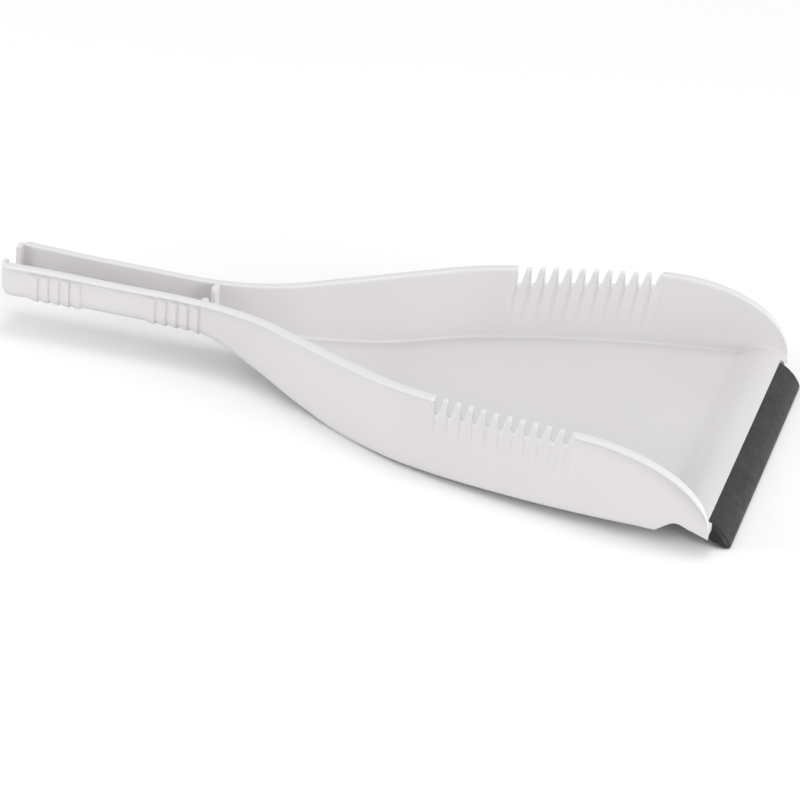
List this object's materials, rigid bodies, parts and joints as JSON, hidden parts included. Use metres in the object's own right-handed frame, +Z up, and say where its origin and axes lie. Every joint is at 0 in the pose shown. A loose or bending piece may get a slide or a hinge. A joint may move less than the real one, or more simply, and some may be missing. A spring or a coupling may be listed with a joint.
{
  "type": "dustpan",
  "caption": "Dustpan with a flat floor, high flared side walls with comb teeth, an open channel handle with grip ribs and a soft rubber lip along the mouth.",
  "frame": {"origin": "centre of the bounding box, on the plane that the pan stands on", "axes": "+Z up, the mouth and its rubber lip face -Y, the handle points to +Y, and X = 0 is the plane of symmetry"},
  "size_m": [0.212, 0.3378, 0.0395],
  "materials": {
    "pan_plastic": "white injection-moulded plastic with a fine satin surface",
    "lip_rubber": "charcoal soft rubber, satin"
  },
  "bodies": {
    "root": {"pan": "pan_plastic", "rubber_lip": "lip_rubber"}
  },
  "joints": []
}
